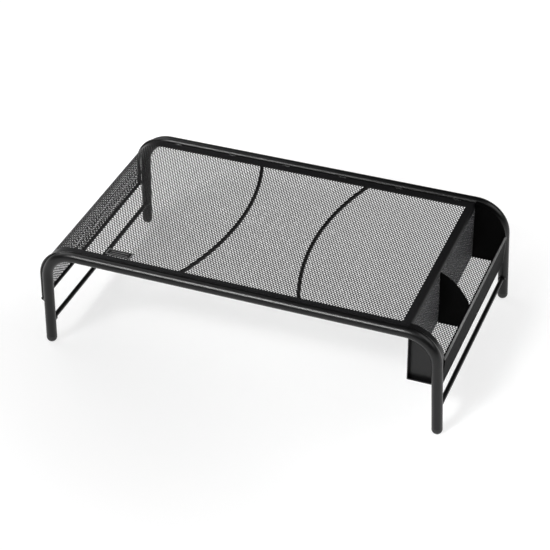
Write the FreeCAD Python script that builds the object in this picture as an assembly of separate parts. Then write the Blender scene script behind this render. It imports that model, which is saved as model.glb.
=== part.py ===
# Steel mesh monitor riser stand with a side pocket.
# Millimetres. +Z is up, +X is to the user's right, -Y is the front.
# The origin is at the centre of the footprint, on the desk surface.
import FreeCAD, Part
import math
import os

# --- tube frames -----------------------------------------------------------
foot_width = 508.0            # outside of left foot to outside of right foot
stand_height = 141.0          # desk to the top of the tubes
frame_spacing = 279.0         # front tube centre to rear tube centre
tube_radius = 6.5
tube_wall = 1.2
bend_radius = 38.0            # tube centreline radius at the corners
leg_splay = math.radians(2.2) # each leg leans out towards its foot
foot_collar = 3.0             # straight part of a foot cap below the tube
foot_flat = 0.6               # height cut off each ball end so it stands flat
foot_stem_length = 14.0
foot_stem_clearance = 0.1

# --- rods ------------------------------------------------------------------
rod_radius = 2.4
crossbar_radius = 2.9
crossbar_height = 32.0
left_crossbar_inset = 1.2     # the left crossbar sits this far inside its legs' centreline
hem_height = 61.5
apron_rod_inset = 2.7         # apron side rods sit this far inside the leg centre plane
apron_rod_start = math.radians(12)  # where these rods come up out of the tube's bend
apron_offset = 9.0            # apron centre surface to leg centreline
weld_gap = 0.02               # a rod's end stops this far short of the rod it is welded to
edge_match = 0.05             # how near an edge must be to a point to be picked for a fillet
curved_rod_centre = -1.9
curved_rod_waist = 49.7       # half spacing of the curved rods where they are closest
curved_rod_radius = 355.0     # how tightly the curved rods bow
curved_rod_waist_y = 6.0      # the rods are closest a little behind mid depth

# --- mesh platform ---------------------------------------------------------
platform_height = 136.1       # top face of the mesh and of its edge strips
sheet_thickness = 0.6
sheet_bend_radius = 40.0
strip_thickness = 1.6
strip_inner_y = 123.5
strip_wrap = math.radians(50) # how far the strips follow the sheet round its bend
bar_inner_x = 197.1
bar_depth = 4.8               # height of the bar from its flat top to its lower edge
bar_shoulder = 4.0            # outer radius of the fold along the bar
plate_size = (32.0, 11.0, 1.2)
plate_centre = (-156.8, -116.8)
plate_border = 1.0
plate_rib_length = 22.0
plate_rib_depth = 1.2
plate_rib_spacing = 3.7

# --- side pocket -----------------------------------------------------------
pocket_inner_x = 207.9
pocket_floor = 60.0
panel_y = 128.4               # mid plane of each end panel
panel_thickness = 1.2
panel_arc_radius = 42.6
panel_flange_y = 134.6
panel_flange_lift = 3.8       # the bottom flange slopes up this far to its free edge
lip_bottom_x = 247.0          # outer face of the lip at the pocket floor
lip_top_x = 249.8             # outer face of the lip at its top, which flares out
lip_height = 99.5
lip_fold = 4.0                # how far the lip's top edge folds in over the pocket
lip_round = 0.8
divider_y = -15.5
divider_top = 133.0
divider_mid = (231.3, 116.3)  # a point half way along the divider's round edge
divider_side = 78.0           # height where the round edge meets the lip

# --- weld beads ------------------------------------------------------------
bead_size = 1.6
tack_length = 9.0
tack_positions = (-196.0, -121.0, -46.0, 29.0, 104.0, 179.0)
seam_ends = (-199.0, 192.0)   # the front strip is welded along its whole length

tube_height = stand_height - tube_radius
ball_height = tube_radius - foot_flat
frame_y = frame_spacing / 2
foot_x = foot_width / 2 - tube_radius
lean = math.tan(leg_splay)
sheet_mid_height = platform_height - sheet_thickness / 2
# The apron's hem reaches further out than the right feet; this centres the whole stand.
left_reach = foot_x - hem_height * lean + apron_offset / math.cos(leg_splay) + rod_radius
right_reach = foot_x - ball_height * lean + tube_radius
centre_shift = (left_reach - right_reach) / 2


def vec(x, y, z):
    return FreeCAD.Vector(x, y, z)


def leg_x(height):
    """Distance of a leg's centreline from the frame's middle at a height."""
    return foot_x - height * lean


def hook(top, offset, radius):
    """Left corner path in XZ: side line point, arc start, arc middle, arc end.

    The side line runs parallel to the leg, offset outwards, and the top line is at height top."""
    turn = math.pi / 2 - leg_splay
    reach = radius * math.tan(turn / 2)
    corner_x = -leg_x(top) - offset / math.cos(leg_splay)
    start = (corner_x - reach * math.sin(leg_splay), top - reach * math.cos(leg_splay))
    centre = (corner_x + reach, top - radius)
    middle = math.pi / 2 + turn / 2
    return {
        "start": start,
        "mid": (centre[0] + radius * math.cos(middle), centre[1] + radius * math.sin(middle)),
        "end": (corner_x + reach, top),
        "centre": centre,
    }


def u_path(y):
    """Centreline of one tube frame, from the left foot collar to the right one."""
    corner = hook(tube_height, 0.0, bend_radius)
    foot = ball_height + foot_collar * math.cos(leg_splay)
    left = [(-leg_x(foot), foot), corner["start"], corner["mid"], corner["end"]]
    pts = [vec(x, y, z) for x, z in left]
    mirrored = [vec(-x, y, z) for x, z in reversed(left)]
    edges = [
        Part.makeLine(pts[0], pts[1]),
        Part.Arc(pts[1], pts[2], pts[3]).toShape(),
        Part.makeLine(pts[3], mirrored[0]),
        Part.Arc(mirrored[0], mirrored[1], mirrored[2]).toShape(),
        Part.makeLine(mirrored[2], mirrored[3]),
    ]
    return Part.Wire(edges)


def swept(path, radius):
    """Round bar along a wire."""
    first = path.OrderedEdges[0]
    start = first.valueAt(first.FirstParameter)
    along = first.tangentAt(first.FirstParameter)
    profile = Part.Wire([Part.makeCircle(radius, start, along)])
    return path.makePipeShell([profile], True, True)


def straight_rod(start, end, radius):
    along = end - start
    return Part.makeCylinder(radius, along.Length, start, along)


def leg_axis(side):
    """Unit vector up a leg; side is -1 for left and 1 for right."""
    return vec(-side * math.sin(leg_splay), 0, math.cos(leg_splay))


def envelope(y):
    """Filled outline of one frame with its feet, used to trim what touches it."""
    filled = swept(u_path(y), tube_radius)
    feet = [foot_dome(side, y) for side in (-1, 1)]
    return filled.multiFuse(feet)


def tube_frame(y):
    path = u_path(y)
    outer = swept(path, tube_radius)
    inner = swept(path, tube_radius - tube_wall)
    return outer.cut(inner)


def foot_dome(side, y):
    """Ball end and collar of one foot, without its stem."""
    centre = vec(side * leg_x(ball_height), y, ball_height)
    ball = Part.makeSphere(tube_radius, centre)
    collar = Part.makeCylinder(tube_radius, foot_collar, centre, leg_axis(side))
    above = Part.makeCylinder(tube_radius * 2, tube_radius * 2, centre, leg_axis(side))
    desk = Part.makeBox(4 * tube_radius, 4 * tube_radius, tube_radius)
    desk.translate(centre - vec(2 * tube_radius, 2 * tube_radius, ball_height + tube_radius))
    return ball.cut(above).cut(desk).fuse(collar)


def foot_cap(side, y):
    dome = foot_dome(side, y)
    stem_radius = tube_radius - tube_wall - foot_stem_clearance
    centre = vec(side * leg_x(ball_height), y, ball_height)
    stem = Part.makeCylinder(stem_radius, foot_collar + foot_stem_length, centre, leg_axis(side))
    return dome.fuse(stem).removeSplitter()


def sheet_band(outer, inner, y_from, y_to, x_right, wrap):
    """Part of the platform sheet between two offsets from its middle surface.

    It starts at x_right and follows the left bend through the angle wrap.
    A wrap of None carries on down the apron to the hem."""
    corner = hook(sheet_mid_height, apron_offset, sheet_bend_radius)
    cx, cz = corner["centre"]

    def on_arc(angle, offset):
        reach = sheet_bend_radius + offset
        return vec(cx - reach * math.sin(angle), y_from, cz + reach * math.cos(angle))

    full_turn = math.pi / 2 - leg_splay
    turn = full_turn if wrap is None else wrap
    top_out = vec(x_right, y_from, sheet_mid_height + outer)
    top_in = vec(x_right, y_from, sheet_mid_height + inner)
    ends = [on_arc(turn, outer), on_arc(turn, inner)]
    edges = []
    if x_right > cx:
        edges.append(Part.makeLine(top_out, on_arc(0, outer)))
        edges.append(Part.makeLine(on_arc(0, inner), top_in))
    edges.append(Part.Arc(on_arc(0, outer), on_arc(turn / 2, outer), ends[0]).toShape())
    edges.append(Part.Arc(ends[1], on_arc(turn / 2, inner), on_arc(0, inner)).toShape())
    if wrap is None:
        down = vec(-math.sin(leg_splay), 0, -math.cos(leg_splay))
        length = (ends[0].z - hem_height) / math.cos(leg_splay)
        tips = [end + down * length for end in ends]
        edges.append(Part.makeLine(ends[0], tips[0]))
        edges.append(Part.makeLine(ends[1], tips[1]))
        ends = tips
    edges.append(Part.makeLine(ends[0], ends[1]))
    edges.append(Part.makeLine(top_in, top_out))
    face = Part.Face(Part.Wire(Part.__sortEdges__(edges)))
    return face.extrude(vec(0, y_to - y_from, 0))


def bend_start_x():
    return hook(sheet_mid_height, apron_offset, sheet_bend_radius)["centre"][0]


def top_mesh(plate):
    """Flat sheet, with the name plate let into it."""
    left = bend_start_x()
    corner = vec(left, -strip_inner_y, platform_height - sheet_thickness)
    return Part.makeBox(bar_inner_x - left, 2 * strip_inner_y, sheet_thickness, corner).cut(plate)


def apron_mesh(hem):
    """Bent left end of the sheet; below the strips it widens out to the side rods."""
    half = sheet_thickness / 2
    left = bend_start_x()
    wide_y = frame_y - apron_rod_inset - rod_radius
    upper = sheet_band(half, -half, -strip_inner_y, strip_inner_y, left, strip_wrap)
    full = sheet_band(half, -half, -wide_y, wide_y, left, None)
    bent_part = sheet_band(half * 3, -half * 3, -wide_y, wide_y, left, strip_wrap)
    lower = full.cut(bent_part)
    return upper.fuse(lower).removeSplitter().cut(hem)


def edge_strip(side, frame):
    """Flat strip beside one tube; side is -1 for the front and 1 for the rear."""
    outer_y = frame_y - apron_rod_inset - rod_radius
    low, high = sorted((side * strip_inner_y, side * outer_y))
    inner = sheet_thickness / 2 - strip_thickness
    strip = sheet_band(sheet_thickness / 2, inner, low, high, bar_inner_x, strip_wrap)
    return strip.cut(frame)


def side_rod(side, frame):
    """Rod down one side of the apron, outside the leg, from the tube's bend to the hem."""
    corner = hook(sheet_mid_height, apron_offset, sheet_bend_radius)
    cx, cz = corner["centre"]
    y = side * (frame_y - apron_rod_inset)
    full_turn = math.pi / 2 - leg_splay
    angles = (apron_rod_start, (apron_rod_start + full_turn) / 2, full_turn)
    arc = [vec(cx - sheet_bend_radius * math.sin(a), y, cz + sheet_bend_radius * math.cos(a)) for a in angles]
    tip = vec(-leg_x(hem_height) - apron_offset / math.cos(leg_splay), y, hem_height)
    path = Part.Wire([Part.Arc(arc[0], arc[1], arc[2]).toShape(), Part.makeLine(arc[2], tip)])
    return swept(path, rod_radius).cut(hem_rod(rod_radius + weld_gap)).cut(frame)


def hem_rod(radius):
    x = -leg_x(hem_height) - apron_offset / math.cos(leg_splay)
    reach = frame_y - apron_rod_inset + rod_radius
    return straight_rod(vec(x, -reach, hem_height), vec(x, reach, hem_height), radius)


def crossbar_x(side):
    inset = left_crossbar_inset if side < 0 else 0.0
    return side * (leg_x(crossbar_height) - inset)


def crossbar(side, frames):
    """Low rod between the front and rear legs; side is -1 for left and 1 for right."""
    start = vec(crossbar_x(side), -frame_y, crossbar_height)
    rod = straight_rod(start, start + vec(0, frame_spacing, 0), crossbar_radius)
    return rod.cut(frames[0]).cut(frames[1])


def curved_rod(side, trims):
    """Bowed rod under the mesh; side is -1 for left and 1 for right."""
    z = platform_height - sheet_thickness - rod_radius
    reach = frame_y - tube_radius + rod_radius

    def on_bow(y):
        rise = math.sqrt(curved_rod_radius ** 2 - (y - curved_rod_waist_y) ** 2)
        spacing = curved_rod_waist + curved_rod_radius - rise
        return vec(curved_rod_centre + side * spacing, y, z)

    arc = Part.Arc(on_bow(-reach), on_bow(curved_rod_waist_y), on_bow(reach)).toShape()
    rod = swept(Part.Wire([arc]), rod_radius)
    for trim in trims:
        rod = rod.cut(trim)
    return rod


def edges_at(shape, x, z):
    """Edges of a shape that run along Y at one place in XZ."""
    wanted = vec(x, 0, z)
    found = []
    for edge in shape.Edges:
        middle = edge.CenterOfMass
        along_y = abs(edge.tangentAt(edge.FirstParameter).y) > abs(edge.tangentAt(edge.FirstParameter).x)
        if along_y and wanted.distanceToPoint(vec(middle.x, 0, middle.z)) < edge_match:
            found.append(edge)
    return found


def right_bar(frames):
    """Folded strip between the mesh and the pocket, with a round shoulder."""
    length = 2 * (frame_y - apron_rod_inset - rod_radius)
    inner_x = pocket_inner_x - strip_thickness
    inner_z = platform_height - strip_thickness
    width = pocket_inner_x - bar_inner_x
    lower_z = platform_height - bar_depth
    flat = Part.makeBox(width, length, strip_thickness, vec(bar_inner_x, -length / 2, inner_z))
    drop = Part.makeBox(strip_thickness, length, bar_depth, vec(inner_x, -length / 2, lower_z))
    bar = flat.fuse(drop).removeSplitter()
    bar = bar.makeFillet(bar_shoulder - strip_thickness, edges_at(bar, inner_x, inner_z))
    bar = bar.makeFillet(bar_shoulder, edges_at(bar, pocket_inner_x, platform_height))
    return bar.cut(frames[0]).cut(frames[1])


def name_plate():
    """Blank plate with a raised border and two plain ribs."""
    length, depth, height = plate_size
    x, y = plate_centre
    corner = vec(x - length / 2, y - depth / 2, platform_height - sheet_thickness)
    base = Part.makeBox(length, depth, sheet_thickness + height, corner)
    well = Part.makeBox(
        length - 2 * plate_border,
        depth - 2 * plate_border,
        height / 2,
        vec(x - length / 2 + plate_border, y - depth / 2 + plate_border, platform_height + height / 2),
    )
    plate = base.cut(well)
    for row in (-1, 1):
        rib_y = y + row * plate_rib_spacing / 2 - plate_rib_depth / 2
        corner = vec(x - plate_rib_length / 2, rib_y, platform_height + height / 4)
        plate = plate.fuse(Part.makeBox(plate_rib_length, plate_rib_depth, height / 2, corner))
    return plate.removeSplitter()


def outline_solid(points, arc, y_from, y_to):
    """Plate in an XZ outline: straight points, then an arc (start, middle, end) closing it."""
    corners = [vec(x, y_from, z) for x, z in points]
    edges = [Part.makeLine(a, b) for a, b in zip(corners, corners[1:])]
    edges.append(Part.Arc(*[vec(x, y_from, z) for x, z in arc]).toShape())
    return Part.Face(Part.Wire(edges)).extrude(vec(0, y_to - y_from, 0))


def bend_centre():
    """Centre of the right-hand bend of the tube frames, in XZ."""
    x, z = hook(tube_height, 0.0, bend_radius)["centre"]
    return -x, z


def lip_x(height):
    """Outer face of the pocket lip at a height; the lip flares out as it rises."""
    part_way = (height - pocket_floor) / (lip_height - pocket_floor)
    return lip_bottom_x + part_way * (lip_top_x - lip_bottom_x)


def panel_outline(inset, bottom):
    """End panel outline: top left, down, along, then up the lip and round the tube's bend."""
    centre_x, centre_z = bend_centre()
    radius = panel_arc_radius - inset
    left = pocket_inner_x - sheet_thickness + inset
    right = lip_x(bottom) - panel_thickness - inset
    top_angle = math.acos((left - centre_x) / radius)
    arc = [(centre_x + radius * math.cos(a), centre_z + radius * math.sin(a))
           for a in (0.0, top_angle / 2, top_angle)]
    points = [arc[2], (left, bottom), (right, bottom), arc[0]]
    return points, arc


def under_flange(side, inset):
    """Space below the sloping bottom flange of an end panel, raised by inset."""
    near = side * (panel_y + panel_thickness / 2)
    far = side * panel_flange_y
    left = pocket_inner_x - tube_radius
    low = pocket_floor - tube_radius
    slope = [(near, pocket_floor + inset), (far, pocket_floor + inset + panel_flange_lift)]
    corners = [vec(left, y, z) for y, z in ((near, low), *slope, (far, low))]
    return Part.Face(Part.makePolygon(corners + corners[:1])).extrude(vec(foot_x - left, 0, 0))


def end_panel(side, bar, frame, lip):
    """Solid pocket end: a plate whose edges are folded all round towards the tube and welded to it."""
    inside = side * (panel_y - panel_thickness / 2)
    outside = side * (panel_y + panel_thickness / 2)
    plate = outline_solid(*panel_outline(0.0, pocket_floor), inside, outside)
    rim = outline_solid(*panel_outline(0.0, pocket_floor), outside, side * panel_flange_y)
    hollow = outline_solid(*panel_outline(panel_thickness, pocket_floor), outside, side * panel_flange_y)
    rim = rim.cut(under_flange(side, 0.0)).cut(hollow.cut(under_flange(side, panel_thickness)))
    panel = plate.fuse(rim).removeSplitter()
    return panel.cut(bar).cut(frame).cut(lip)


def pocket_length():
    """Clear length between the two end panels."""
    return 2 * panel_y - panel_thickness


def inner_wall():
    height = platform_height - bar_depth - pocket_floor
    corner = vec(pocket_inner_x - sheet_thickness, -pocket_length() / 2, pocket_floor)
    return Part.makeBox(sheet_thickness, pocket_length(), height, corner)


def pocket_lip(frames):
    """Low flared outer wall that covers the panels' edges, with its top edge folded inwards."""
    reach = panel_y + panel_thickness / 2
    under_fold = lip_height - panel_thickness
    outline = [
        (lip_bottom_x, pocket_floor),
        (lip_top_x, lip_height),
        (lip_top_x - lip_fold, lip_height),
        (lip_top_x - lip_fold, under_fold),
        (lip_x(under_fold) - panel_thickness, under_fold),
        (lip_bottom_x - panel_thickness, pocket_floor),
    ]
    corners = [vec(x, -reach, z) for x, z in outline]
    face = Part.Face(Part.makePolygon(corners + corners[:1]))
    lip = face.extrude(vec(0, 2 * reach, 0))
    lip = lip.makeFillet(lip_round, edges_at(lip, lip_top_x, lip_height))
    return lip.cut(frames[0]).cut(frames[1])


def floor_mesh(side):
    """Floor of one pocket bay; side is -1 for the front bay and 1 for the rear bay."""
    near = divider_y + side * panel_thickness / 2
    low, high = sorted((near, side * pocket_length() / 2))
    width = lip_bottom_x - panel_thickness - pocket_inner_x
    return Part.makeBox(width, high - low, sheet_thickness, vec(pocket_inner_x, low, pocket_floor))


def divider(bar):
    inner = panel_thickness
    arc = [(lip_x(divider_side) - inner, divider_side), divider_mid, (pocket_inner_x, divider_top)]
    points = [arc[2], (pocket_inner_x, pocket_floor), (lip_bottom_x - inner, pocket_floor), arc[0]]
    plate = outline_solid(points, arc, divider_y - panel_thickness / 2, divider_y + panel_thickness / 2)
    return plate.cut(bar)


def crossbar_welds(frames):
    """Bead round each crossbar end where it meets a leg."""
    beads = []
    for side in (-1, 1):
        x = crossbar_x(side)
        start = vec(x, -frame_y, crossbar_height)
        rod = straight_rod(start, start + vec(0, frame_spacing, 0), crossbar_radius)
        for end, frame in zip((-1, 1), frames):
            near = frame_y - tube_radius - bead_size / 2
            far = frame_y - tube_radius / 2
            bead = straight_rod(vec(x, end * near, crossbar_height), vec(x, end * far, crossbar_height),
                                crossbar_radius + bead_size)
            beads.append(bead.cut(rod).cut(frame))
    return Part.makeCompound(beads)


def apron_welds(hem, rods, frames):
    """Bead between the hem rod and each leg."""
    beads = []
    x = -leg_x(hem_height) - tube_radius
    reach = tube_radius / 3
    for end in (-1, 1):
        base = vec(x, end * frame_y, hem_height - reach)
        bead = Part.makeCylinder(bead_size, 2 * reach, base)
        for other in (hem, *rods, *frames):
            bead = bead.cut(other)
        beads.append(bead)
    return Part.makeCompound(beads)


def strip_bead(side, x_from, x_to, strip, frame):
    """Bead in the corner between one strip and its tube; side is -1 for the front."""
    y = side * (frame_y - tube_radius)
    bead = straight_rod(vec(x_from, y, platform_height), vec(x_to, y, platform_height), bead_size)
    return bead.cut(strip).cut(frame)


def strip_welds(strips, frames):
    """One long seam along the front strip and short tacks along the rear one."""
    beads = [strip_bead(-1, *seam_ends, strips[0], frames[0])]
    for x in tack_positions:
        beads.append(strip_bead(1, x, x + tack_length, strips[1], frames[1]))
    return beads


def upper_solids(shapes, floor):
    """Keep the solids of each shape that lie above a height."""
    kept = []
    for shape in shapes:
        kept.extend(solid for solid in shape.Solids if solid.CenterOfMass.z > floor)
    return Part.makeCompound(kept)


def build():
    front = envelope(-frame_y)
    rear = envelope(frame_y)
    frames = (front, rear)
    hem = hem_rod(rod_radius)
    strips = (edge_strip(-1, front), edge_strip(1, rear))
    bar = right_bar(frames)
    bars = (crossbar(-1, frames), crossbar(1, frames))
    rods = (side_rod(-1, front), side_rod(1, rear))
    lip = pocket_lip(frames)
    plate = name_plate()
    parts = {
        "front_tube": tube_frame(-frame_y),
        "rear_tube": tube_frame(frame_y),
        "front_edge_strip": strips[0],
        "rear_edge_strip": strips[1],
        "top_mesh": top_mesh(plate),
        "apron_mesh": apron_mesh(hem),
        "apron_hem_rod": hem,
        "apron_front_rod": rods[0],
        "apron_rear_rod": rods[1],
        "curved_rod_left": curved_rod(-1, (*strips, *frames)),
        "curved_rod_right": curved_rod(1, (*strips, *frames)),
        "right_edge_bar": bar,
        "left_crossbar": bars[0],
        "right_crossbar": bars[1],
        "name_plate": plate,
        "pocket_front_panel": end_panel(-1, bar, front, lip),
        "pocket_rear_panel": end_panel(1, bar, rear, lip),
        "pocket_inner_wall": inner_wall(),
        "pocket_floor_front": floor_mesh(-1),
        "pocket_floor_rear": floor_mesh(1),
        "pocket_lip": lip,
        "pocket_divider": divider(bar),
        "crossbar_welds": crossbar_welds(frames),
        "apron_welds": apron_welds(hem, rods, frames),
        "strip_welds": upper_solids(strip_welds(strips, frames), platform_height),
    }
    for front_rear, y in (("front", -frame_y), ("rear", frame_y)):
        for left_right, side in (("left", -1), ("right", 1)):
            parts["foot_cap_%s_%s" % (front_rear, left_right)] = foot_cap(side, y)
    return parts


os.makedirs("parts", exist_ok=True)
for node, shape in build().items():
    shape.translate(vec(centre_shift, 0, 0))
    shape.exportStep("parts/%s.step" % node)
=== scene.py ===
"""Looks of the mesh monitor riser stand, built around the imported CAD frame.

Metres, +Z up, -Y is the front. Expanded-metal sheets are real geometry; every surface has a node material.
"""
import math

import bpy
import numpy as np
from mathutils import Matrix, Vector


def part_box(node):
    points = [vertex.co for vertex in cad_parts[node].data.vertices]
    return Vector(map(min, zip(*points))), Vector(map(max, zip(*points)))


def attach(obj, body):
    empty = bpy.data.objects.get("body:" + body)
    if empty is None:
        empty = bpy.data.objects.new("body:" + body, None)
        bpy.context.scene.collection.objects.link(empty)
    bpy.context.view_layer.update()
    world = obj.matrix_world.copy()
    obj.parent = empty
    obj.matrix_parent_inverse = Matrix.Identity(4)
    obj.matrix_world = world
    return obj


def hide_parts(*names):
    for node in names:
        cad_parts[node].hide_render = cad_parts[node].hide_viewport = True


MM = 0.001

# --- camera ----------------------------------------------------------------
camera_place = (0.65316, -1.62134, 1.32664)
camera_azimuth = math.radians(22.089)
camera_elevation = math.radians(35.797)
camera_roll = math.radians(-1.008)
camera_lens = 114.86
sensor_width = 36.0
camera_clip = (0.05, 50.0)

# --- lights ----------------------------------------------------------------
# name, azimuth, elevation, distance, size, power
tube_light = ("tube_strip", -25, 44, 1.0, (1.5, 0.24), 1.25)
tube_light_beam = 22
fill_lights = (
    ("fill_front", 0, 58, 2.2, (2.6, 1.0), 8),
    ("fill_right", 100, 42, 2.4, (1.8, 1.8), 22),
    ("fill_left", -105, 42, 2.4, (1.8, 1.8), 22),
)
fill_aim = (0.0, 0.0, 0.08)
full_beam = 180
world_strength = 0.03

# --- finishes --------------------------------------------------------------
noise_range = (0.3, 0.7)      # the part of a noise value that is stretched over a whole range
coat_blue = 1.07              # blue of a coat's tone, as a multiple of its red and green
coat_tone_scale = 35.0
coat_gloss_scale = 180.0
coat_grain_scale = 900.0
coat_grain = 0.03 * MM        # height of the orange peel on the solid parts
mesh_grain = 0.02 * MM
foot_tone_scale = 60.0
foot_gloss_scale = 400.0
foot_grain_scale = 2500.0
foot_grain = 0.02 * MM
brush_scale = 400.0
brush_stretch = 14.0          # how much finer the plate's grain is along Y than along X
brush_grain = 0.01 * MM

# --- painted highlight on the lip, lighter raised parts on the plate -------
# width of the highlight line painted along the lip's edges
lip_highlight_width = 1.1 * MM
lighter_edge_fade = 0.25              # how far a lighter edge (the lip's painted highlight, the plate's raised parts) fades to each side, as a share of its width
# grey of the painted highlight on the lip
lip_highlight_grey = 0.24
# patchy strength of the lip's painted highlight
lip_patch_scale = 120.0
lip_patch_strength = (0.75, 1.0)
plate_relief = 0.35 * MM      # how far down from its top the plate's raised parts are coloured a lighter grey
plate_edge_grey = 0.17

# --- floor -----------------------------------------------------------------
floor_half_size = 6.0
floor_tone_scale = 3.0
glow_radius = (0.2, 0.5)      # near strength inside the first distance, far strength past the second
glow_strength = (0.7, 0.88)

# --- expanded metal --------------------------------------------------------
pitch_across = 3.47 * MM      # hole spacing across the short way of the holes
pitch_along = 6.0 * MM        # hole spacing along the long way of the holes
hole_half_width = 1.05 * MM
hole_half_flat = 0.45 * MM    # half of the straight part of a hole's side
hole_half_length = 2.25 * MM
strand_depth = 0.5 * MM
hole_corners = 6
smallest_area = 1e-12         # twice a face's area, in square metres, below which it is squashed flat
tuck = 1.6 * MM               # how far a sheet runs in under the metal that holds it

# --- bent sheet ------------------------------------------------------------
sheet_thickness = 0.6 * MM
sheet_bend_radius = 40.0 * MM
leg_splay = math.radians(2.2)
corner_radius = 1.0 * MM      # fold between the pocket's inner wall and its floor


# --- small node helpers ----------------------------------------------------
def new_material(name):
    """Material with a Principled shader; returns it, its node tree and the shader."""
    material = bpy.data.materials.new(name)
    material.use_nodes = True
    tree = material.node_tree
    shader = next(n for n in tree.nodes if n.type == "BSDF_PRINCIPLED")
    return material, tree, shader


def noise(tree, scale, detail=2.0):
    """Noise value that follows the object's own coordinates."""
    place = tree.nodes.new("ShaderNodeTexCoord")
    texture = tree.nodes.new("ShaderNodeTexNoise")
    texture.inputs["Scale"].default_value = scale
    texture.inputs["Detail"].default_value = detail
    tree.links.new(place.outputs["Object"], texture.inputs["Vector"])
    return texture.outputs["Fac"]


def spread(tree, value, low, high):
    """Maps a noise value to a range."""
    node = tree.nodes.new("ShaderNodeMapRange")
    node.inputs["From Min"].default_value = noise_range[0]
    node.inputs["From Max"].default_value = noise_range[1]
    node.inputs["To Min"].default_value = low
    node.inputs["To Max"].default_value = high
    tree.links.new(value, node.inputs["Value"])
    return node.outputs["Result"]


def tint(tree, value, dark, light):
    """Colour between two tones, chosen by a noise value."""
    ramp = tree.nodes.new("ShaderNodeValToRGB")
    ramp.color_ramp.elements[0].position = noise_range[0]
    ramp.color_ramp.elements[0].color = (*dark, 1)
    ramp.color_ramp.elements[1].position = noise_range[1]
    ramp.color_ramp.elements[1].color = (*light, 1)
    tree.links.new(value, ramp.inputs["Fac"])
    return ramp.outputs["Color"]


def relief(tree, value, height):
    """Normal disturbed by a noise value; height is in metres."""
    bump = tree.nodes.new("ShaderNodeBump")
    bump.inputs["Strength"].default_value = 1.0
    bump.inputs["Distance"].default_value = height
    tree.links.new(value, bump.inputs["Height"])
    return bump.outputs["Normal"]


def above(tree, axis, limit, softness):
    """Mask that rises from 0 to 1 where an object coordinate passes a limit, in metres."""
    place = tree.nodes.new("ShaderNodeTexCoord")
    split = tree.nodes.new("ShaderNodeSeparateXYZ")
    tree.links.new(place.outputs["Object"], split.inputs[0])
    ramp = tree.nodes.new("ShaderNodeMapRange")
    ramp.inputs["From Min"].default_value = limit - softness
    ramp.inputs["From Max"].default_value = limit + softness
    tree.links.new(split.outputs[axis], ramp.inputs["Value"])
    return ramp.outputs["Result"]


def combined(tree, operation, first, second):
    """Two values joined by a math operation."""
    node = tree.nodes.new("ShaderNodeMath")
    node.operation = operation
    tree.links.new(first, node.inputs[0])
    tree.links.new(second, node.inputs[1])
    return node.outputs[0]


def lighten(tree, shader, mask, grey):
    """Mixes the shader's base colour towards a grey where the mask is 1."""
    mix = tree.nodes.new("ShaderNodeMix")
    mix.data_type = "RGBA"
    base = shader.inputs["Base Color"].links[0].from_socket
    colours = [socket for socket in mix.inputs if socket.type == "RGBA"]
    tree.links.new(mask, mix.inputs["Factor"])
    tree.links.new(base, colours[0])
    colours[1].default_value = (grey, grey, grey, 1)
    result = next(socket for socket in mix.outputs if socket.type == "RGBA")
    tree.links.new(result, shader.inputs["Base Color"])


# --- materials -------------------------------------------------------------
def powder_coat(name, tone, rough, grain, ior):
    """Black powder coat: fine orange peel, slightly uneven tone and gloss."""
    material, tree, shader = new_material(name)
    dark, light = ((grey, grey, grey * coat_blue) for grey in tone)
    tree.links.new(tint(tree, noise(tree, coat_tone_scale), dark, light), shader.inputs["Base Color"])
    tree.links.new(spread(tree, noise(tree, coat_gloss_scale), *rough), shader.inputs["Roughness"])
    tree.links.new(relief(tree, noise(tree, coat_grain_scale), grain), shader.inputs["Normal"])
    shader.inputs["IOR"].default_value = ior
    return material


def paint_lip_highlight(material):
    """Paints a grey highlight into the coat along the lip's outer top edge and its rear end."""
    tree = material.node_tree
    shader = next(n for n in tree.nodes if n.type == "BSDF_PRINCIPLED")
    _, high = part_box("pocket_lip")
    fade = lip_highlight_width * lighter_edge_fade
    top = above(tree, "Z", high.z - lip_highlight_width, fade)
    outer = above(tree, "X", high.x - 2 * lip_highlight_width, fade)
    rear = above(tree, "Y", high.y - lip_highlight_width, fade)
    edge = combined(tree, "MAXIMUM", combined(tree, "MULTIPLY", top, outer), rear)
    patches = spread(tree, noise(tree, lip_patch_scale), *lip_patch_strength)
    # mixes the painted highlight into the lip's base colour
    lighten(tree, shader, combined(tree, "MULTIPLY", edge, patches), lip_highlight_grey)


def moulded_plastic(name):
    """Foot caps: matt black polymer with a fine spark texture."""
    material, tree, shader = new_material(name)
    dark, light = (0.004, 0.004, 0.0042), (0.006, 0.006, 0.0062)
    tree.links.new(tint(tree, noise(tree, foot_tone_scale), dark, light), shader.inputs["Base Color"])
    tree.links.new(spread(tree, noise(tree, foot_gloss_scale), 0.38, 0.5), shader.inputs["Roughness"])
    tree.links.new(relief(tree, noise(tree, foot_grain_scale), foot_grain), shader.inputs["Normal"])
    return material


def plate_metal(name):
    """Blank name plate: dark satin metal with a brushed grain along X."""
    material, tree, shader = new_material(name)
    place = tree.nodes.new("ShaderNodeTexCoord")
    stretch = tree.nodes.new("ShaderNodeMapping")
    stretch.inputs["Scale"].default_value = (1.0, brush_stretch, 1.0)
    tree.links.new(place.outputs["Object"], stretch.inputs["Vector"])
    texture = tree.nodes.new("ShaderNodeTexNoise")
    texture.inputs["Scale"].default_value = brush_scale
    tree.links.new(stretch.outputs["Vector"], texture.inputs["Vector"])
    grain = texture.outputs["Fac"]
    dark, light = (0.006, 0.006, 0.0063), (0.011, 0.011, 0.0113)
    tree.links.new(tint(tree, grain, dark, light), shader.inputs["Base Color"])
    tree.links.new(spread(tree, grain, 0.3, 0.45), shader.inputs["Roughness"])
    tree.links.new(relief(tree, grain, brush_grain), shader.inputs["Normal"])
    shader.inputs["Metallic"].default_value = 0.3
    _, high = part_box(name)
    raised = above(tree, "Z", high.z - plate_relief, plate_relief * lighter_edge_fade)
    # colours the plate's raised parts a lighter grey
    lighten(tree, shader, raised, plate_edge_grey)
    return material


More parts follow.
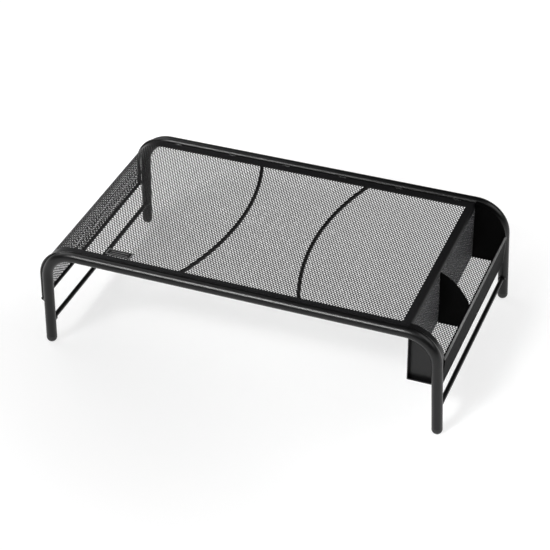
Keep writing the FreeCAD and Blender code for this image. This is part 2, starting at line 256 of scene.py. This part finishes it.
def floor_material():
    """Pale studio floor that glows white, less under the stand than further out."""
    material, tree, shader = new_material("studio_floor")
    dark, light = (0.3, 0.3, 0.3), (0.31, 0.31, 0.31)
    tree.links.new(tint(tree, noise(tree, floor_tone_scale), dark, light), shader.inputs["Base Color"])
    shader.inputs["Roughness"].default_value = 0.9
    shader.inputs["Specular IOR Level"].default_value = 0.1
    place = tree.nodes.new("ShaderNodeTexCoord")
    distance = tree.nodes.new("ShaderNodeVectorMath")
    distance.operation = "LENGTH"
    tree.links.new(place.outputs["Object"], distance.inputs[0])
    glow = tree.nodes.new("ShaderNodeMapRange")
    glow.interpolation_type = "SMOOTHSTEP"
    glow.inputs["From Min"].default_value = glow_radius[0]
    glow.inputs["From Max"].default_value = glow_radius[1]
    glow.inputs["To Min"].default_value = glow_strength[0]
    glow.inputs["To Max"].default_value = glow_strength[1]
    tree.links.new(distance.outputs["Value"], glow.inputs["Value"])
    shader.inputs["Emission Color"].default_value = (1, 1, 1, 1)
    tree.links.new(glow.outputs["Result"], shader.inputs["Emission Strength"])
    return material


# --- expanded metal sheets -------------------------------------------------
def hole_outline():
    """Six corners of one hole as (across, along), anticlockwise from the lower right."""
    w, f, t = hole_half_width, hole_half_flat, hole_half_length
    return np.array([(w, -f), (w, f), (0, t), (-w, f), (-w, -f), (0, -t)])


def strand_faces(first_row, rows, columns):
    """Faces between neighbouring holes, as corner numbers (hole * hole_corners + corner).

    Odd rows of holes sit half a pitch further across than even rows."""
    faces = []
    for row in range(rows - 1):
        shifted = (first_row + row) % 2
        for column in range(1, columns - 1):
            here = (row * columns + column) * hole_corners
            right = here + hole_corners
            up_left = ((row + 1) * columns + column - 1 + shifted) * hole_corners
            up_right = up_left + hole_corners
            faces.append((here, right + 4, right + 3, here + 1))
            faces.append((here + 1, up_right + 5, up_right + 4, here + 2))
            faces.append((here + 2, up_left, up_left + 5, here + 3))
            faces.append((here + 1, right + 3, up_right + 5))
            faces.append((here + 2, up_right + 4, up_left))
    return faces


def rim_edges(faces):
    """Directed edges that only one face uses."""
    edges = [(a, b) for face in faces for a, b in zip(face, face[1:] + face[:1])]
    known = set(edges)
    return [(a, b) for a, b in edges if (b, a) not in known]


def flattened(faces, u, v):
    """Faces that keep an area once their corners are held inside the sheet's edges."""
    kept = []
    for face in faces:
        corners = list(face)
        side_u, side_v = u[corners], v[corners]
        twice_area = np.dot(side_u, np.roll(side_v, -1)) - np.dot(side_v, np.roll(side_u, -1))
        if abs(twice_area) > smallest_area:
            kept.append(face)
    return kept


def expanded_sheet(name, across, along, place, material):
    """Closed expanded-metal sheet cut to a range of u (across) and v (along).

    place(u, v, depth) turns sheet coordinates into points; depth runs from the outer face."""
    row_pitch = pitch_along / 2
    columns = np.arange(math.floor(across[0] / pitch_across) - 1, math.ceil(across[1] / pitch_across) + 2)
    rows = np.arange(math.floor(along[0] / row_pitch) - 1, math.ceil(along[1] / row_pitch) + 2)
    shift = (rows % 2)[:, None] / 2
    centre_u = (columns[None, :] + shift) * pitch_across
    centre_v = np.repeat(rows[:, None], len(columns), 1) * row_pitch
    corners = hole_outline()
    u = np.clip((centre_u[:, :, None] + corners[:, 0]).ravel(), *across)
    v = np.clip((centre_v[:, :, None] + corners[:, 1]).ravel(), *along)
    outer = flattened(strand_faces(rows[0], len(rows), len(columns)), u, v)
    count = len(u)
    faces = list(outer)
    faces.extend(tuple(c + count for c in reversed(face)) for face in outer)
    faces.extend((b, a, a + count, b + count) for a, b in rim_edges(outer))
    points = np.concatenate([place(u, v, 0.0), place(u, v, strand_depth)])
    used = np.unique(np.concatenate([np.array(face) for face in faces]))
    number = np.full(len(points), -1)
    number[used] = np.arange(len(used))
    mesh = bpy.data.meshes.new(name)
    mesh.from_pydata(points[used].tolist(), [], [[int(number[c]) for c in face] for face in faces])
    mesh.shade_smooth()
    mesh.materials.append(material)
    sheet = bpy.data.objects.new(name, mesh)
    bpy.context.scene.collection.objects.link(sheet)
    return sheet


def shelf_place(top, bend_x):
    """Top sheet and the apron that it bends down into; u is X on the flat part."""
    middle = sheet_bend_radius
    outer = middle + strand_depth / 2
    centre_z = top - sheet_thickness / 2 - middle
    turn = math.pi / 2 - leg_splay

    def place(u, v, depth):
        run = np.maximum(bend_x - u, 0.0)
        angle = np.minimum(run / middle, turn)
        beyond = np.maximum(run - turn * middle, 0.0)
        reach = outer - depth
        x = np.maximum(u, bend_x) - reach * np.sin(angle) - beyond * math.sin(leg_splay)
        z = centre_z + reach * np.cos(angle) - beyond * math.cos(leg_splay)
        return np.stack([x, v, z], 1)

    return place


def pocket_place(wall_x, floor_z):
    """Pocket wall and floor as one folded sheet; u falls down the wall and then runs out along the floor."""

    def place(u, v, depth):
        inside = corner_radius
        arc = inside * math.pi / 2
        down = np.minimum(u, 0.0)
        angle = np.clip(u / inside, 0, math.pi / 2)
        out = np.maximum(u - arc, 0.0)
        reach = inside + depth - sheet_thickness / 2
        x = wall_x + inside - reach * np.cos(angle) + out
        z = floor_z + inside - reach * np.sin(angle) - down
        return np.stack([x, v, z], 1)

    return place


def make_sheets(steel, lightened_pocket_steel):
    """Shelf mesh in two pieces, its bent apron, and the pocket's folded wall and floor."""
    top_low, top_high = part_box("top_mesh")
    apron_low, apron_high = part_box("apron_mesh")
    bar_low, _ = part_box("right_edge_bar")
    place = shelf_place(top_high.z, top_low.x)
    bend = (math.pi / 2 - leg_splay) * sheet_bend_radius
    corner_z = top_high.z - sheet_thickness / 2
    reach = sheet_bend_radius * math.tan((math.pi / 2 - leg_splay) / 2)
    bend_end_z = corner_z - reach * math.cos(leg_splay)
    hem = top_low.x - bend - (bend_end_z - apron_low.z) / math.cos(leg_splay) - tuck / 2
    middle = pitch_across * math.floor((top_low.x + bar_low.x) / 2 / pitch_across)
    narrow = top_high.y + tuck
    wide = apron_high.y + tuck / 2
    left = expanded_sheet("shelf_mesh_left", (top_low.x, middle), (-narrow, narrow), place, steel)
    right = expanded_sheet("shelf_mesh_right", (middle, bar_low.x + tuck), (-narrow, narrow), place, steel)
    apron = expanded_sheet("apron_bent_mesh", (hem, top_low.x), (-wide, wide), place, steel)
    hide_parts("top_mesh")
    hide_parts("top_mesh")
    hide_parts("apron_mesh")
    wall_low, wall_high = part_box("pocket_inner_wall")
    _, floor_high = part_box("pocket_floor_front")
    fold = pocket_place((wall_low.x + wall_high.x) / 2, floor_high.z - sheet_thickness / 2)
    up = floor_high.z - wall_high.z - tuck / 2
    out = floor_high.x - wall_high.x
    # the pocket mesh gets the lighter copy of the coat, with painted light
    pocket = expanded_sheet("pocket_mesh", (up, out), (wall_low.y, wall_high.y), fold, lightened_pocket_steel)
    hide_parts("pocket_inner_wall", "pocket_floor_front", "pocket_floor_rear")
    for sheet in (left, right, apron, pocket):
        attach(sheet, "root")


# --- carried-over CAD nodes ------------------------------------------------
def coat_for(node, coats):
    """Finish of a CAD node, by its name."""
    if node.startswith("foot_cap"):
        return coats["foot"]
    if node == "name_plate":
        return coats["plate"]
    if node == "pocket_lip":
        return coats["lip"]
    if node in ("pocket_divider", "pocket_rear_panel"):
        return coats["inside"]
    if node == "pocket_front_panel":
        return coats["panel"]
    if node in ("right_edge_bar", "front_edge_strip", "rear_edge_strip"):
        return coats["strip"]
    return coats["frame"]


def dress(frame, coats):
    """Gives every CAD node that stays its finish."""
    for name, node in frame["nodes"].items():
        node.data.materials.clear()
        node.data.materials.append(coat_for(name, coats))


# --- studio ----------------------------------------------------------------
def make_camera():
    """Camera above the front right of the stand, rolled slightly."""
    a, e, r = camera_azimuth, camera_elevation, camera_roll
    back = Vector((math.sin(a) * math.cos(e), -math.cos(a) * math.cos(e), math.sin(e)))
    right = Vector((math.cos(a), math.sin(a), 0.0))
    up = back.cross(right)
    rolled_right = math.cos(r) * right + math.sin(r) * up
    rolled_up = -math.sin(r) * right + math.cos(r) * up
    data = bpy.data.cameras.new("camera")
    data.lens = camera_lens
    data.sensor_width = sensor_width
    data.clip_start, data.clip_end = camera_clip
    camera = bpy.data.objects.new("camera", data)
    turn = Matrix((rolled_right, rolled_up, back)).transposed().to_4x4()
    camera.matrix_world = Matrix.Translation(camera_place) @ turn
    bpy.context.scene.collection.objects.link(camera)
    bpy.context.scene.camera = camera


def softbox(name, azimuth, elevation, distance, size, power, aim=fill_aim, beam=full_beam):
    """Rectangular area light aimed at a point; azimuth 0 is in front, 90 to the right."""
    data = bpy.data.lights.new(name, "AREA")
    data.shape = "RECTANGLE"
    data.size, data.size_y = size
    data.energy = power
    data.spread = math.radians(beam)
    light = bpy.data.objects.new(name, data)
    a, e = math.radians(azimuth), math.radians(elevation)
    away = Vector((math.sin(a) * math.cos(e), -math.cos(a) * math.cos(e), math.sin(e)))
    light.location = away * distance + Vector(aim)
    light.rotation_mode = "QUATERNION"
    light.rotation_quaternion = away.to_track_quat("Z", "Y")
    bpy.context.scene.collection.objects.link(light)


def make_studio():
    """Faint white world, glowing floor and the softboxes."""
    world = bpy.data.worlds.new("studio")
    world.use_nodes = True
    background = next(n for n in world.node_tree.nodes if n.type == "BACKGROUND")
    background.inputs["Color"].default_value = (1, 1, 1, 1)
    background.inputs["Strength"].default_value = world_strength
    bpy.context.scene.world = world
    mesh = bpy.data.meshes.new("studio_floor")
    edge = floor_half_size
    corners = [(-edge, -edge, 0), (edge, -edge, 0), (edge, edge, 0), (-edge, edge, 0)]
    mesh.from_pydata(corners, [], [(0, 1, 2, 3)])
    mesh.materials.append(floor_material())
    floor = bpy.data.objects.new("studio_floor", mesh)
    bpy.context.scene.collection.objects.link(floor)
    tube_low, tube_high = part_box("front_tube")
    front_tube = (0.0, (tube_low.y + tube_high.y) / 2, tube_high.z)
    softbox(*tube_light, front_tube, tube_light_beam)
    for fill in fill_lights:
        softbox(*fill)
    bpy.context.scene.view_settings.view_transform = "Standard"


# --- build -----------------------------------------------------------------
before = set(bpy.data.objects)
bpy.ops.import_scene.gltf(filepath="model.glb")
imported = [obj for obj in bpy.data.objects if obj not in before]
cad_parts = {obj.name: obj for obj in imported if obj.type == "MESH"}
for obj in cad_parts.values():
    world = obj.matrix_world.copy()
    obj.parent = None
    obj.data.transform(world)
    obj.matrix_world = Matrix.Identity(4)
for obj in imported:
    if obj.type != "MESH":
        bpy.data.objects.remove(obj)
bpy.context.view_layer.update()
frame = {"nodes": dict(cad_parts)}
# powder coats: name, darkest and lightest grey, roughness range, grain, IOR
coats = {
    "frame": powder_coat("frame_powder_coat", (0.002, 0.003), (0.3, 0.36), coat_grain, 1.4),
    # lighter than the frame's coat: painted sheen on the flat edge strips and the right edge bar
    "strip": powder_coat("strip_coat_with_painted_sheen", (0.007, 0.009), (0.34, 0.4), coat_grain, 1.4),
    "panel": powder_coat("panel_powder_coat", (0.004, 0.005), (0.32, 0.38), coat_grain, 1.4),
    # darker than the frame's coat: painted shade on the divider and rear panel inside the pocket
    "inside": powder_coat("pocket_coat_with_painted_shade", (0.0012, 0.0018), (0.4, 0.48), coat_grain, 1.15),
    "lip": powder_coat("lip_powder_coat", (0.003, 0.004), (0.45, 0.52), coat_grain, 1.06),
    "foot": moulded_plastic("foot_polymer"),
    "plate": plate_metal("name_plate"),
}
# paints a highlight line into the lip's coat along its edges
paint_lip_highlight(coats["lip"])
dress(frame, coats)
make_sheets(
    powder_coat("mesh_powder_coat", (0.003, 0.004), (0.36, 0.44), mesh_grain, 1.4),
    # over ten times lighter than the shelf mesh's coat: painted light on the pocket's wall and floor mesh
    powder_coat("pocket_mesh_coat_with_painted_light", (0.045, 0.058), (0.36, 0.44), mesh_grain, 1.5),
)
make_studio()
make_camera()
